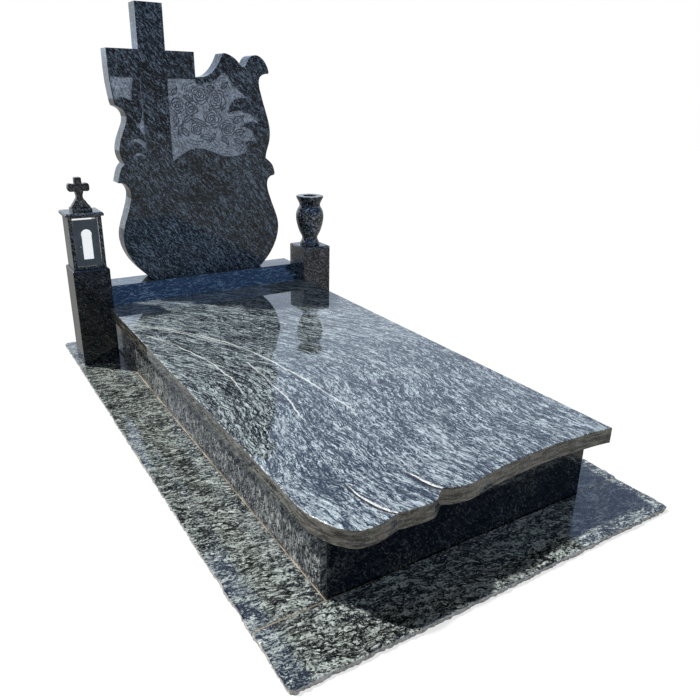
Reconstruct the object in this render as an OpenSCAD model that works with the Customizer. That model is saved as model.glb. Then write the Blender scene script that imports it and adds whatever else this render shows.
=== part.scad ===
// Granite grave monument: kerbed cover slab, shaped headstone, grave lantern and vase.
// Millimetres, +Z up, front faces -Y. Origin at the middle of the footprint, on the ground.

/* [Kerb] */
// width of the kerb box, outside to outside
kerb_width = 900; // [600:5:1300]
// length of the kerb box, front to rear
kerb_length = 2004; // [1500:5:2600]
// height of the kerb above the ground
kerb_height = 206; // [120:1:350]
// thickness of the kerb plates
kerb_plate = 30; // [20:1:60]

/* [Apron] */
// paving to the left of the kerb
apron_left = 200; // [150:5:400]
// paving to the right of the kerb
apron_right = 190; // [180:5:400]
// paving in front of the kerb
apron_front = 195; // [80:5:400]
// paving behind the kerb
apron_rear = 119; // [60:1:300]
// thickness of the paving plates
apron_thickness = 14; // [8:1:40]
// width of the mortar joints
joint_gap = 4; // [2:0.5:8]

/* [Cover slab] */
// thickness of the cover slab
slab_thickness = 50; // [30:1:80]
// how far the slab stands out over the kerb's sides
slab_overhang = 40; // [10:1:80]
// how far the waved front edge stands out, 1 as built
wave_reach = 1; // [0.5:0.05:1.5]

/* [Headstone base] */
// depth of the base bar, front to rear
base_depth = 182; // [140:1:300]
// height of the base bar above the slab
base_rise = 74; // [40:1:140]
// how far its front slopes back
base_slope = 54; // [10:1:90]
// gap left at both ends, beside the pedestals
base_end_gap = 0.6; // [0.3:0.1:3]

/* [Headstone] */
// overall width of the headstone
headstone_width = 762; // [500:2:1100]
// overall height of the headstone
headstone_height = 1156; // [700:2:1600]
// thickness of the headstone
headstone_thickness = 85; // [60:1:140]
// headstone face behind the base's top front edge
headstone_setback = 31; // [5:1:60]
// depth of the sunk fields beside the cross
recess_depth = 6; // [2:0.5:20]

/* [Pedestals] */
// width and depth of both pedestals
pedestal_size = 150; // [110:1:230]
// height of the lantern pedestal above the paving
lantern_pedestal_height = 423; // [250:1:700]
// height of the vase pedestal above the paving
vase_pedestal_height = 411; // [250:1:700]
// pedestals' front face ahead of the kerb's rear face
pedestal_inset = 218; // [160:1:600]
// gap between the lantern pedestal and the kerb
lantern_pedestal_gap = 26; // [5:1:60]
// gap between the vase pedestal and the kerb
vase_pedestal_gap = 16; // [5:1:60]
// chamfer round the pedestals' tops
pedestal_chamfer = 5; // [1:0.5:15]

/* [Lantern] */
// width of the lantern body
lantern_width = 133; // [100:1:180]
// depth of the lantern body
lantern_depth = 118; // [80:1:180]
// height of the lantern body
lantern_height = 221; // [150:1:350]
// thickness of its side walls
lantern_wall = 16; // [8:1:30]
// thickness of its floor
lantern_sill = 13; // [4:1:25]
// thickness of its lintel
lantern_lintel = 6; // [4:1:20]
// how far the cap stands out all round
cap_overhang = 10; // [3:1:25]
// thickness of the cap
cap_thickness = 15; // [8:1:30]
// width of the finial's plinth
plinth_width = 79; // [50:1:110]
// depth of the finial's plinth
plinth_depth = 72; // [40:1:110]
// height of the finial's plinth
plinth_height = 14; // [6:1:30]
// height of the finial cross
finial_height = 124; // [70:1:200]
// thickness of the finial cross
finial_thickness = 28; // [12:1:50]

/* [Lantern door] */
// thickness of the door plate
door_plate = 4; // [2:0.5:8]
// slot left open above the door
door_top_slot = 7; // [3:0.5:15]
// gap at the door's free edge
door_gap = 1; // [0.5:0.1:2]
// width of the arched window
window_width = 40; // [20:1:70]
// bottom of the window above the door's foot
window_foot = 28; // [15:1:60]
// height of the window, arch and all
window_height = 125; // [60:1:180]
// radius of the hinge pins
pin_r = 1.5; // [1:0.1:3]
// radial running clearance of the hinge
pin_clearance = 0.05; // [0.02:0.01:0.09]
// how much wider the window's round head is than its sides
arch_swell = 1.3; // [0:0.1:4]
// raised panel above the door's foot
panel_foot = 2; // [1:0.5:15]
// raised panel below the door's head
panel_head = 12; // [1:0.5:25]
// thickness of the glass
glass_thickness = 2; // [1.5:0.5:4]

/* [Vase] */
// height of the vase
vase_height = 246; // [150:1:350]
// radius of the vase at its shoulder
vase_radius = 69.5; // [40:0.5:74]
// radius of the flower well
well_radius = 33; // [15:0.5:45]
// depth of the flower well
well_depth = 175; // [80:1:260]

/* [Hidden] */
mid_x = (kerb_width + apron_right - apron_left) / 2;
mid_y = (kerb_length + apron_rear - apron_front) / 2;
slab_top = kerb_height + slab_thickness;
base_top = slab_top + base_rise;
base_rear = kerb_length;
slab_length = kerb_length - base_depth;
pedestal_front = kerb_length - pedestal_inset;
lantern_ped_top = apron_thickness + lantern_pedestal_height;
vase_ped_top = apron_thickness + vase_pedestal_height;
lantern_x = -lantern_pedestal_gap - pedestal_size / 2;
vase_x = kerb_width + vase_pedestal_gap + pedestal_size / 2;
pedestal_y = pedestal_front + pedestal_size / 2;
lantern_front = pedestal_y - lantern_depth / 2;
lantern_rear = pedestal_y + lantern_depth / 2;
opening_half = lantern_width / 2 - lantern_wall;
sill_top = lantern_ped_top + lantern_sill;
lintel_bottom = lantern_ped_top + lantern_height - lantern_lintel;
cap_bottom = lantern_ped_top + lantern_height;
plinth_bottom = cap_bottom + cap_thickness;
finial_bottom = plinth_bottom + plinth_height;
barrel_r = pin_r + 2.1;
hinge_x = lantern_x + opening_half - barrel_r - 1.1;
hinge_y = lantern_front + barrel_r + 1.1;
door_bottom = sill_top + 1;
door_top = lintel_bottom - door_top_slot;
door_left = lantern_x - opening_half + door_gap;
pin_length = 12;
pin_face_gap = 0.3;
panel_relief = 1.5;
panel_half = opening_half * 0.70;
window_bottom = door_bottom + window_foot;
window_top = window_bottom + window_height;
glass_lap = 5;
rear_pane_inset = 8;
knob_z = (door_bottom + door_top) / 2 - 13;
knob_x = lantern_x - (panel_half + window_width / 2) / 2 - 1;
stone = [0.33, 0.38, 0.42];
dark_stone = [0.24, 0.27, 0.31];
beige = [0.72, 0.66, 0.55];
metal = [0.42, 0.45, 0.50];
pane = [0.80, 0.86, 0.90, 0.35];

// smooth curve through the points of one run; the run's last point starts the next run
function curve_at(a, b, c, d, t) =
    0.5 * (2 * b + (c - a) * t + (2 * a - 5 * b + 4 * c - d) * t * t + (3 * b - a - 3 * c + d) * t * t * t);
function run(p, n) = len(p) < 3 ? [p[0]] :
    [for (i = [0 : len(p) - 2]) for (k = [0 : n - 1])
        curve_at(p[max(i - 1, 0)], p[i], p[i + 1], p[min(i + 2, len(p) - 1)], k / n)];
function path(runs, n) = [for (r = runs) each run(r, n)];
function sized(points, sx, sy) = [for (p = points) [p[0] * sx, p[1] * sy]];

// headstone outline at its nominal size, from the middle of its foot
nominal_width = 762;
nominal_height = 1156;
outline_runs = [
    [[-242, 1156], [-128, 1156]],
    [[-128, 1156], [-128, 977]],
    [[-128, 977], [-3, 977]],
    [[-3, 977], [-2, 876]],
    [[-2, 876], [17, 877], [38, 879.5], [57, 886], [71, 895], [84, 906], [95, 918], [105, 932], [115, 948], [122, 962], [128, 975]],
    [[128, 975], [135, 978], [147, 976.5], [161, 972], [175, 965], [189, 956], [202, 944], [212, 932], [223, 924.5], [233, 927.5], [240, 935], [245, 946],
        [251, 957], [259, 966], [270, 972.5], [283, 975.5], [297, 974.5], [311, 968.5], [323, 959.5], [334, 946.5], [342, 932.5], [348, 918], [351, 906]],
    [[351, 906], [349, 899]],
    [[349, 899], [337, 898.5], [324, 895.5], [313, 890], [305, 882], [301, 870], [300.5, 856], [302, 839], [308, 816], [315, 790],
        [323, 763], [332, 734], [341, 703], [347.5, 676], [350.5, 651], [350.5, 630], [348, 608], [343, 588], [336, 568], [329, 545], [326, 525]],
    [[326, 525], [341, 513], [356, 499], [365, 482], [370, 464], [372, 451]],
    [[372, 451], [367, 444]],
    [[367, 444], [356, 442], [344, 436], [334.5, 424], [330.5, 408], [331, 389], [336, 366], [344, 341], [353, 315],
        [362.5, 290], [372, 265], [380, 240], [385, 216], [386, 192], [383.5, 167], [377, 141], [367.5, 115], [355, 89], [339, 64], [321, 41], [300, 19], [280, 0]],
    [[280, 0], [-260, 0]],
    [[-260, 0], [-281, 17], [-303, 39], [-324, 63], [-342, 88], [-356, 114], [-367, 141], [-374, 169], [-376.5, 196], [-374, 224],
        [-366, 254], [-355, 286], [-343, 319], [-333, 350], [-327, 376], [-326, 398], [-331, 414], [-340, 427], [-351, 436.5], [-363, 440]],
    [[-363, 440], [-376, 441]],
    [[-376, 441], [-374, 451], [-369.5, 468], [-364, 485], [-358, 499], [-350, 511], [-341, 520]],
    [[-341, 520], [-349, 534], [-354.5, 551], [-357, 569], [-356, 587], [-352, 605], [-345.5, 625], [-337, 645], [-328, 666], [-321, 682],
        [-317, 697], [-316, 711], [-318.5, 725], [-326, 738], [-339, 748.5], [-356, 756]],
    [[-356, 756], [-360, 769], [-363.5, 791], [-366.5, 815], [-369.5, 842], [-371, 868], [-372, 905], [-372, 977]],
    [[-372, 977], [-242, 977]],
    [[-242, 977], [-242, 1156]]
];

// sunk field to the right of the cross
field_runs = [
    [[-128, 523.6], [-128, 868.3]],
    [[-128, 868.3], [-2.7, 868.3]],
    [[-2.7, 868.3], [-1.8, 851.2]],
    [[-1.8, 851.2], [19.8, 848.5], [45, 852.1], [70.2, 858.4], [90, 867.4], [101.7, 877.3], [111.6, 888.1], [120.6, 898]],
    [[120.6, 898], [129.6, 898], [141.3, 892.6], [150.3, 884.5], [156.6, 871.9], [164.7, 859.3], [172.8, 849.1], [184.5, 839.5],
        [202.1, 825.1], [222.9, 808], [243.9, 790.9]],
    [[243.9, 790.9], [223.2, 792.2], [202.1, 792], [183.6, 787.6], [167.4, 777.8], [155.4, 762.6], [148.5, 745], [146.2, 728.8]],
    [[146.2, 728.8], [161.1, 734.2], [177.9, 737.8], [196, 739], [215, 737.8], [233.1, 733.3], [250, 725.6], [265, 715.6],
        [279, 702.6], [290.5, 688.5], [299.7, 674.8]],
    [[299.7, 674.8], [286.2, 683.8], [270.4, 689], [252, 690.1], [235, 686.5], [221, 679], [209.7, 668.5]],
    [[209.7, 668.5], [223.2, 667.9], [237.5, 663.8], [251.1, 655], [262.8, 641.8], [272, 626], [278.6, 610.5], [282.2, 595.6]],
    [[282.2, 595.6], [270.4, 600.6], [257, 604], [240.5, 604], [225, 596.5]],
    [[225, 596.5], [230.4, 585.5], [233.2, 572.2], [229.8, 560], [219.4, 550.6], [202.1, 543.7], [181.3, 539.6], [160.7, 537.6],
        [139.5, 537.6], [118.8, 540.2], [99, 545.2], [81, 551.3], [63.9, 557.4], [46.4, 564.2], [28.8, 570.4], [9, 574.9],
        [-12.6, 576.3], [-33.3, 574], [-53.5, 567.5], [-72, 558.4], [-90, 547.9], [-106.2, 537.3], [-118, 528.8], [-128, 523.6]]
];

// sunk fields to the left of the cross
left_field_runs = [
    [[-366.2, 868.3], [-270, 868.3]],
    [[-270, 868.3], [-273.8, 856.6], [-278.1, 842.2], [-281.7, 827.8], [-284, 810.7], [-285.6, 792.7], [-288, 774.7]],
    [[-288, 774.7], [-297.4, 780], [-308, 785.6], [-319.8, 789.4], [-332.1, 789.6], [-343.2, 784.8], [-351.6, 776.4], [-355.2, 770]],
    [[-355.2, 770], [-357.6, 787], [-360.4, 808], [-363.4, 830], [-365.4, 849.4], [-366.2, 868.3]]
];
slit_runs = [
    [[-246.4, 866.5], [-242, 866.5]],
    [[-242, 866.5], [-242, 616.3]],
    [[-242, 616.3], [-246.4, 616.3]],
    [[-246.4, 616.3], [-247.2, 626], [-250.4, 637.6], [-256, 649.4], [-263.7, 660.6], [-273.6, 671.2]],
    [[-273.6, 671.2], [-264.8, 680.6], [-257, 693], [-250.6, 709.4], [-246.4, 727.9]],
    [[-246.4, 727.9], [-246.4, 866.5]]
];
crescent_runs = [
    [[-313.2, 601.9], [-306.8, 612], [-296.6, 620.4], [-282.6, 624.9], [-267, 622.6], [-253.8, 615.4], [-242, 603.7]],
    [[-242, 603.7], [-242, 547.9]],
    [[-242, 547.9], [-244.4, 547.9]],
    [[-244.4, 547.9], [-244.6, 562], [-248.4, 578], [-256.4, 592], [-268.6, 603.4], [-284.4, 609], [-300.2, 607.6], [-313.2, 601.9]]
];
low_crescent_runs = [
    [[-303.3, 532.6], [-300.2, 545.6], [-292.5, 557.4], [-280.4, 564.8], [-266.4, 563.8], [-253.4, 557], [-244.6, 547]],
    [[-244.6, 547], [-246.4, 541]],
    [[-246.4, 541], [-254.4, 547], [-266, 551.8], [-279.6, 551.8], [-291.6, 544.4], [-303.3, 532.6]]
];

// waved front edge of the cover slab: share of the kerb's width, reach forward of the kerb
front_runs = [
    [[-0.045, -115], [-0.045, -65]],
    [[-0.045, -65], [-0.041, -39], [-0.036, -16], [-0.030, -4], [-0.022, 18], [-0.007, 47], [0.0057, 60], [0.0144, 71],
        [0.0335, 83.7], [0.0575, 89], [0.0843, 90], [0.1073, 87], [0.1293, 82], [0.1494, 76], [0.1609, 73]],
    [[0.1609, 73], [0.1791, 77.5], [0.1992, 80], [0.2184, 82], [0.2375, 82.8], [0.2605, 81.9], [0.2711, 80], [0.2845, 74],
        [0.3084, 56], [0.3218, 47]],
    [[0.3218, 47], [0.3324, 51.3], [0.3448, 56.7], [0.3592, 60.6], [0.3736, 63.5], [0.3927, 66], [0.4167, 65.7], [0.454, 60.3],
        [0.4971, 52.5], [0.5393, 47.5], [0.5776, 44.8], [0.6054, 43], [0.6504, 39.6], [0.7079, 36.5], [0.7586, 36],
        [0.7989, 37.5], [0.84, 39.4], [0.8736, 41.2], [0.909, 43.4], [0.9473, 46.8], [0.9856, 51.5], [1, 54]]
];
front_end = front_runs[len(front_runs) - 1];
corner_reach = front_end[len(front_end) - 1][1];

module chamfered_block(w, d, h, c) {
    intersection() {
        translate([0, d / 2, 0]) rotate([90, 0, 0]) linear_extrude(d)
            polygon([[-w / 2, 0], [w / 2, 0], [w / 2, h - c], [w / 2 - c, h], [-w / 2 + c, h], [-w / 2, h - c]]);
        translate([-w / 2, 0, 0]) rotate([90, 0, 90]) linear_extrude(w)
            polygon([[-d / 2, 0], [d / 2, 0], [d / 2, h - c], [d / 2 - c, h], [-d / 2 + c, h], [-d / 2, h - c]]);
    }
}

// a shape drawn in X and Z, standing from y forward by t
module standing(y, t) {
    translate([0, y, 0]) rotate([90, 0, 0]) linear_extrude(t) children();
}

module block(x0, x1, y0, y1, z0, z1) {
    translate([x0 - mid_x, y0 - mid_y, z0]) cube([x1 - x0, y1 - y0, z1 - z0]);
}

module apron_front() {
    color(stone) block(-apron_left, kerb_width + apron_right, -apron_front, -joint_gap, 0, apron_thickness);
}

module apron_left() {
    color(stone) block(-apron_left, -joint_gap, 0, kerb_length + apron_rear, 0, apron_thickness);
}

module apron_right() {
    color(stone) block(kerb_width + joint_gap, kerb_width + apron_right, 0, kerb_length + apron_rear, 0, apron_thickness);
}

module apron_rear() {
    color(stone) block(0, kerb_width, kerb_length + joint_gap, kerb_length + apron_rear, 0, apron_thickness);
}

module mortar_joint() {
    color(beige) translate([-mid_x, -mid_y, 0]) linear_extrude(apron_thickness - 1.5) {
        translate([-apron_left + 12, -joint_gap]) square([kerb_width + apron_left + apron_right - 24, joint_gap]);
        translate([-joint_gap, -joint_gap]) square([joint_gap, kerb_length + apron_rear - 8]);
        translate([kerb_width, -joint_gap]) square([joint_gap, kerb_length + apron_rear - 8]);
        translate([0, kerb_length]) square([kerb_width, joint_gap]);
    }
}

module kerb_front() {
    color(dark_stone) block(0, kerb_width, 0, kerb_plate, 0, kerb_height);
}

module kerb_left() {
    color(dark_stone) block(0, kerb_plate, kerb_plate, kerb_length - kerb_plate, 0, kerb_height);
}

module kerb_right() {
    color(dark_stone) block(kerb_width - kerb_plate, kerb_width, kerb_plate, kerb_length - kerb_plate, 0, kerb_height);
}

module kerb_rear() {
    color(dark_stone) block(0, kerb_width, kerb_length - kerb_plate, kerb_length, 0, kerb_height);
}

module cover_slab() {
    side = slab_overhang / kerb_width;
    wave = [for (p = path(front_runs, 3)) [p[0] <= 0 ? p[0] * side / 0.045 * kerb_width : p[0] * (kerb_width + slab_overhang), -p[1] * wave_reach]];
    notch_y = pedestal_front - 1;
    left_in = -min(slab_overhang, lantern_pedestal_gap - 1);
    right_in = kerb_width + min(slab_overhang, vase_pedestal_gap - 1);
    color(stone) translate([-mid_x, -mid_y, kerb_height]) linear_extrude(slab_thickness)
        polygon(concat(
            wave,
            [[kerb_width + slab_overhang, -corner_reach * wave_reach], [kerb_width + slab_overhang, notch_y], [right_in, notch_y],
             [right_in, slab_length], [left_in, slab_length], [left_in, notch_y], [-slab_overhang, notch_y]]));
}

module headstone_base() {
    left = -lantern_pedestal_gap + base_end_gap;
    right = kerb_width + vase_pedestal_gap - base_end_gap;
    color(stone) translate([left - mid_x, -mid_y, 0]) rotate([90, 0, 90]) linear_extrude(right - left)
        polygon([[slab_length, kerb_height], [base_rear, kerb_height], [base_rear, base_top],
                 [slab_length + base_slope, base_top], [slab_length, slab_top + 1]]);
}

module headstone() {
    sx = headstone_width / nominal_width;
    sz = headstone_height / nominal_height;
    face = slab_length + base_slope + headstone_setback;
    color(dark_stone) translate([kerb_width / 2 - mid_x, -mid_y, base_top]) difference() {
        standing(face + headstone_thickness, headstone_thickness) polygon(sized(path(outline_runs, 3), sx, sz));
        standing(face + recess_depth, recess_depth + 1) {
            polygon(sized(path(field_runs, 2), sx, sz));
            polygon(sized(path(left_field_runs, 2), sx, sz));
            polygon(sized(path(slit_runs, 2), sx, sz));
            polygon(sized(path(crescent_runs, 2), sx, sz));
            polygon(sized(path(low_crescent_runs, 2), sx, sz));
        }
    }
}

module lantern_pedestal() {
    color(dark_stone) translate([lantern_x - mid_x, pedestal_y - mid_y, apron_thickness])
        chamfered_block(pedestal_size, pedestal_size, lantern_pedestal_height, pedestal_chamfer);
}

module vase_pedestal() {
    color(dark_stone) translate([vase_x - mid_x, pedestal_y - mid_y, apron_thickness])
        chamfered_block(pedestal_size, pedestal_size, vase_pedestal_height, pedestal_chamfer);
}

module lantern_body() {
    color(dark_stone) difference() {
        block(lantern_x - lantern_width / 2, lantern_x + lantern_width / 2, lantern_front, lantern_rear,
              lantern_ped_top, lantern_ped_top + lantern_height);
        block(lantern_x - opening_half, lantern_x + opening_half, lantern_front - 5, lantern_rear + 5, sill_top, lintel_bottom);
    }
}

module lantern_cap() {
    color(dark_stone) translate([lantern_x - mid_x, pedestal_y - mid_y, cap_bottom])
        chamfered_block(lantern_width + 2 * cap_overhang, lantern_depth + 2 * cap_overhang, cap_thickness, 5);
}

module lantern_finial() {
    k = finial_height / 124;
    cross = [
        [[-39.5, 0], [39.5, 0]],
        [[39.5, 0], [39.5, 3]],
        [[39.5, 3], [30, 15], [22, 27], [15, 37], [12, 45], [13, 54], [17, 68]],
        [[17, 68], [30, 67], [38, 68.5], [42, 75], [42.5, 83.5], [42, 92], [38, 98.5], [30, 100], [14, 97]],
        [[14, 97], [13.5, 121]],
        [[13.5, 121], [10.5, 124]],
        [[10.5, 124], [-10.5, 124]],
        [[-10.5, 124], [-13.5, 121]],
        [[-13.5, 121], [-14, 97]],
        [[-14, 97], [-30, 100], [-38, 98.5], [-42, 92], [-42.5, 83.5], [-42, 75], [-38, 68.5], [-30, 67], [-17, 68]],
        [[-17, 68], [-13, 54], [-12, 45], [-15, 37], [-22, 27], [-30, 15], [-39.5, 3]],
        [[-39.5, 3], [-39.5, 0]]
    ];
    color(dark_stone) union() {
        translate([lantern_x - mid_x, pedestal_y - mid_y, plinth_bottom])
            chamfered_block(plinth_width, plinth_depth, plinth_height, 1.5);
        translate([lantern_x - mid_x, -mid_y, finial_bottom - 0.5])
            standing(pedestal_y + finial_thickness / 2, finial_thickness)
                polygon(sized(path(cross, 3), k * min(1, plinth_width / (79 * k)), k));
    }
}

module lantern_rear_pane() {
    clear = 0.2;
    color(pane) block(lantern_x - opening_half + clear, lantern_x + opening_half - clear,
                      lantern_rear - rear_pane_inset - glass_thickness, lantern_rear - rear_pane_inset,
                      sill_top, lintel_bottom - clear);
}

module lantern_hinge() {
    collar = 0.7;
    color(metal) translate([hinge_x - mid_x, hinge_y - mid_y, 0]) {
        translate([0, 0, sill_top]) cylinder(h = collar, r = barrel_r - 0.2, $fn = 40);
        translate([0, 0, sill_top]) cylinder(h = pin_length, r = pin_r, $fn = 40);
        translate([0, 0, door_top + pin_face_gap]) cylinder(h = lintel_bottom - door_top - pin_face_gap, r = barrel_r - 0.2, $fn = 40);
        translate([0, 0, door_top - pin_length + 1]) cylinder(h = pin_length, r = pin_r, $fn = 40);
    }
}

module window_shape(grow) {
    half = window_width / 2 + grow;
    arch_r = half + arch_swell;
    translate([lantern_x, window_top - window_width / 2]) circle(r = arch_r, $fn = 64);
    translate([lantern_x - half, window_bottom - grow]) square([2 * half, window_height - window_width / 2 + grow]);
}

module lantern_door() {
    bore = pin_r + pin_clearance;
    color(metal) translate([-mid_x, -mid_y, 0]) difference() {
        union() {
            standing(hinge_y + door_plate / 2, door_plate)
                translate([door_left, door_bottom]) square([hinge_x - door_left, door_top - door_bottom]);
            standing(hinge_y, door_plate / 2 + panel_relief)
                translate([lantern_x - panel_half, door_bottom + panel_foot]) square([2 * panel_half, door_top - door_bottom - panel_foot - panel_head]);
            translate([hinge_x, hinge_y, door_bottom]) cylinder(h = door_top - door_bottom, r = barrel_r, $fn = 40);
        }
        standing(hinge_y + door_plate, 2 * door_plate + 2 * panel_relief) window_shape(0);
        translate([hinge_x, hinge_y, door_bottom - 1]) cylinder(h = pin_length + 2, r = bore, $fn = 40);
        translate([hinge_x, hinge_y, door_top - pin_length - 1]) cylinder(h = pin_length + 2, r = bore, $fn = 40);
    }
}

module lantern_door_glass() {
    color(pane) translate([-mid_x, -mid_y, 0])
        standing(hinge_y + door_plate / 2 + glass_thickness, glass_thickness) window_shape(glass_lap);
}

module lantern_door_knob() {
    face = hinge_y - door_plate / 2 - panel_relief;
    color([0.85, 0.83, 0.76]) translate([knob_x - mid_x, face - mid_y, knob_z]) rotate([90, 0, 0]) {
        cylinder(h = 5, r = 1.6, $fn = 32);
        translate([0, 0, 5]) sphere(r = 3.2, $fn = 32);
    }
}

module vase() {
    outer = [
        [[50, 0], [50.5, 4], [50, 8]],
        [[50, 8], [45.5, 18], [41, 27], [38.4, 36], [40.4, 44], [45.2, 53], [51.2, 65], [56.8, 79], [61.6, 94], [65.6, 110], [68.4, 125], [69.5, 140],
            [69, 154], [66.4, 168], [61.4, 181], [55.2, 191], [52, 199.5], [52.6, 207], [56.2, 216], [60.8, 225], [65.4, 234], [67.6, 239]],
        [[67.6, 239], [68.2, 242], [67, 245], [64, 246]]
    ];
    sr = vase_radius / 69.5;
    sz = vase_height / 246;
    well = min(well_radius, 0.75 * 52 * sr);
    floor_z = max(vase_height - well_depth, 22);
    color(dark_stone) translate([vase_x - mid_x, pedestal_y - mid_y, vase_ped_top])
        rotate_extrude($fn = 96)
            polygon(concat([[0, 0]], sized(path(outer, 2), sr, sz),
                [[64 * sr, 246 * sz], [well + 3, vase_height - 1.5], [well, vase_height - 4.5], [well, floor_z], [0, floor_z]]));
}

apron_front();
apron_left();
apron_right();
apron_rear();
mortar_joint();
kerb_front();
kerb_left();
kerb_right();
kerb_rear();
cover_slab();
headstone_base();
headstone();
lantern_pedestal();
vase_pedestal();
lantern_body();
lantern_cap();
lantern_finial();
lantern_rear_pane();
lantern_hinge();
lantern_door();
lantern_door_glass();
lantern_door_knob();
vase();
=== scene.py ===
"""A kerbed granite grave monument: waved cover slab, scroll-edged headstone, grave lantern and flower vase.

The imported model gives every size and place. The polished stones are copies of its nodes with eased
arrises. The paving's split edges, the rose carving, the slab's scroll cuts, the door's knob and the turned
vase are modelled here.
"""

import logging
import math
from dataclasses import dataclass, replace
from enum import Enum
from typing import Iterable, Optional, Sequence

import bmesh
import bpy
from mathutils import Matrix, Vector, noise
from mathutils.geometry import intersect_point_line


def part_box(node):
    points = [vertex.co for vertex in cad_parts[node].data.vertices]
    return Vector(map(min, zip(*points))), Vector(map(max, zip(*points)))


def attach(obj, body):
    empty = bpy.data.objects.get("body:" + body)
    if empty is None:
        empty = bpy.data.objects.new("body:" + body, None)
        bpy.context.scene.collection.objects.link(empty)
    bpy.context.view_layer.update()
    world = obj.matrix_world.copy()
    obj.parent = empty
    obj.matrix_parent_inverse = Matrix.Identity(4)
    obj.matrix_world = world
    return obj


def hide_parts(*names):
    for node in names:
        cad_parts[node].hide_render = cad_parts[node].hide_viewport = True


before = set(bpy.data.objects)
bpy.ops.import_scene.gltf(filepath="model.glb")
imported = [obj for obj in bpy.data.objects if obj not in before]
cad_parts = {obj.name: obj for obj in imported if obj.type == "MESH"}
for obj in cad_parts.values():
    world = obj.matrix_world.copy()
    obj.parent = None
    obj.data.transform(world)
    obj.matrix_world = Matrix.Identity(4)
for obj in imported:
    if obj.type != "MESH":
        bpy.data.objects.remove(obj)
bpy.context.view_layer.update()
BODY = "monument"
DOOR_BODY = "lantern_door"
MM = 0.001
WELD = 0.02 * MM
FLAT = math.radians(0.4)
NOISE_SEED = 1

log = logging.getLogger("monument")

Triple = tuple[float, float, float]
Point = tuple[float, float]
Socket = bpy.types.NodeSocket
Shape = bmesh.types.BMesh


class Flow(Enum):
    """How the stone's grain runs through a piece."""

    STRAIGHT = "straight"
    SWEPT = "swept"


class NodeBuilder:
    """Places and links shader nodes in one tree."""

    def __init__(self, tree: bpy.types.NodeTree) -> None:
        """Args:
        tree: the node tree to build in.
        """
        self.tree = tree

    def add(self, kind: str, inputs: Optional[dict] = None, **settings: object) -> bpy.types.Node:
        """Adds a node, sets it up and links or fills its inputs.

        Args:
            kind: the node's type name.
            inputs: socket name or index to a value or to an output socket.
            settings: attributes of the node itself.

        Returns:
            The new node.
        """
        node = self.tree.nodes.new(kind)
        for key, value in settings.items():
            setattr(node, key, value)
        for key, value in (inputs or {}).items():
            self.feed(node, key, value)
        return node

    def feed(self, node: bpy.types.Node, key: object, value: object) -> None:
        """Links an output socket to an input, or sets the input's own value.

        Args:
            node: the node to feed.
            key: the input's name or index.
            value: an output socket or a plain value.
        """
        if isinstance(value, Socket):
            self.tree.links.new(value, node.inputs[key])
        else:
            node.inputs[key].default_value = value

    def math(self, operation: str, a: object, b: object = 0.0, clamp: bool = False) -> Socket:
        """Returns the value of one Math node."""
        return self.add("ShaderNodeMath", {0: a, 1: b}, operation=operation, use_clamp=clamp).outputs[0]

    def vector(self, operation: str, a: object, b: object = (0.0, 0.0, 0.0)) -> Socket:
        """Returns the vector of one Vector Math node."""
        return self.add("ShaderNodeVectorMath", {0: a, 1: b}, operation=operation).outputs[0]

    def mix(self, factor: object, a: object, b: object, blend: str = "MIX") -> Socket:
        """Mixes two colours.

        Args:
            factor: b's share.
            a: the colour at 0.
            b: the colour at 1.
            blend: how they mix.

        Returns:
            The mixed colour.
        """
        node = self.add("ShaderNodeMix", data_type="RGBA", blend_type=blend, clamp_factor=True)
        self.feed(node, 0, factor)
        self.feed(node, 6, a)
        self.feed(node, 7, b)
        return node.outputs[2]

    def remap(self, value: object, low: float, high: float, to_low: float = 0.0,
              to_high: float = 1.0) -> Socket:
        """Returns a value moved smoothly from one range to another, held at its ends."""
        return self.add("ShaderNodeMapRange", {0: value, 1: low, 2: high, 3: to_low, 4: to_high},
                        interpolation_type="SMOOTHSTEP").outputs[0]

    def noise(self, at: object, scale: float, detail: float, rough: float = 0.55, out: object = 0) -> Socket:
        """Returns one output, the value or the colour, of a Noise Texture node."""
        inputs = {"Vector": at, "Scale": scale, "Detail": detail, "Roughness": rough}
        return self.add("ShaderNodeTexNoise", inputs).outputs[out]

    def drift(self, at: object, scale: float, detail: float, rough: float = 0.55) -> Socket:
        """Returns noise as a vector about zero, which moves coordinates."""
        return self.vector("SUBTRACT", self.noise(at, scale, detail, rough, "Color"), (0.5, 0.5, 0.5))

    def scaled(self, a: object, by: object) -> Socket:
        """Returns a vector times a number."""
        return self.add("ShaderNodeVectorMath", {0: a, "Scale": by}, operation="SCALE").outputs[0]


def rgba(colour: Triple) -> tuple[float, float, float, float]:
    """Returns the colour with full alpha."""
    return (*colour, 1.0)


def empty_tree(owner: object) -> NodeBuilder:
    """Empties a node tree to build a new one in.

    Args:
        owner: the material or the world.

    Returns:
        A builder on its node tree.
    """
    owner.use_nodes = True
    owner.node_tree.nodes.clear()
    return NodeBuilder(owner.node_tree)


GRAIN_VALUES = ("Length", "Width", "Warp", "Contrast", "Balance", "Speck", "Patch", "Streaks", "Net")
GRAIN_COLOURS = ("Dark", "Mid", "Light")
# the grain's dark seams: the input that sets their strength, their scale on the grain's, shift and half width
SEAMS = (
    ("Streaks", (0.55, 0.80, 0.80), (2.7, 5.9, 1.3), 0.150),
    ("Net", (0.22, 0.19, 0.19), (8.1, 0.4, 6.6), 0.070),
)


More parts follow.
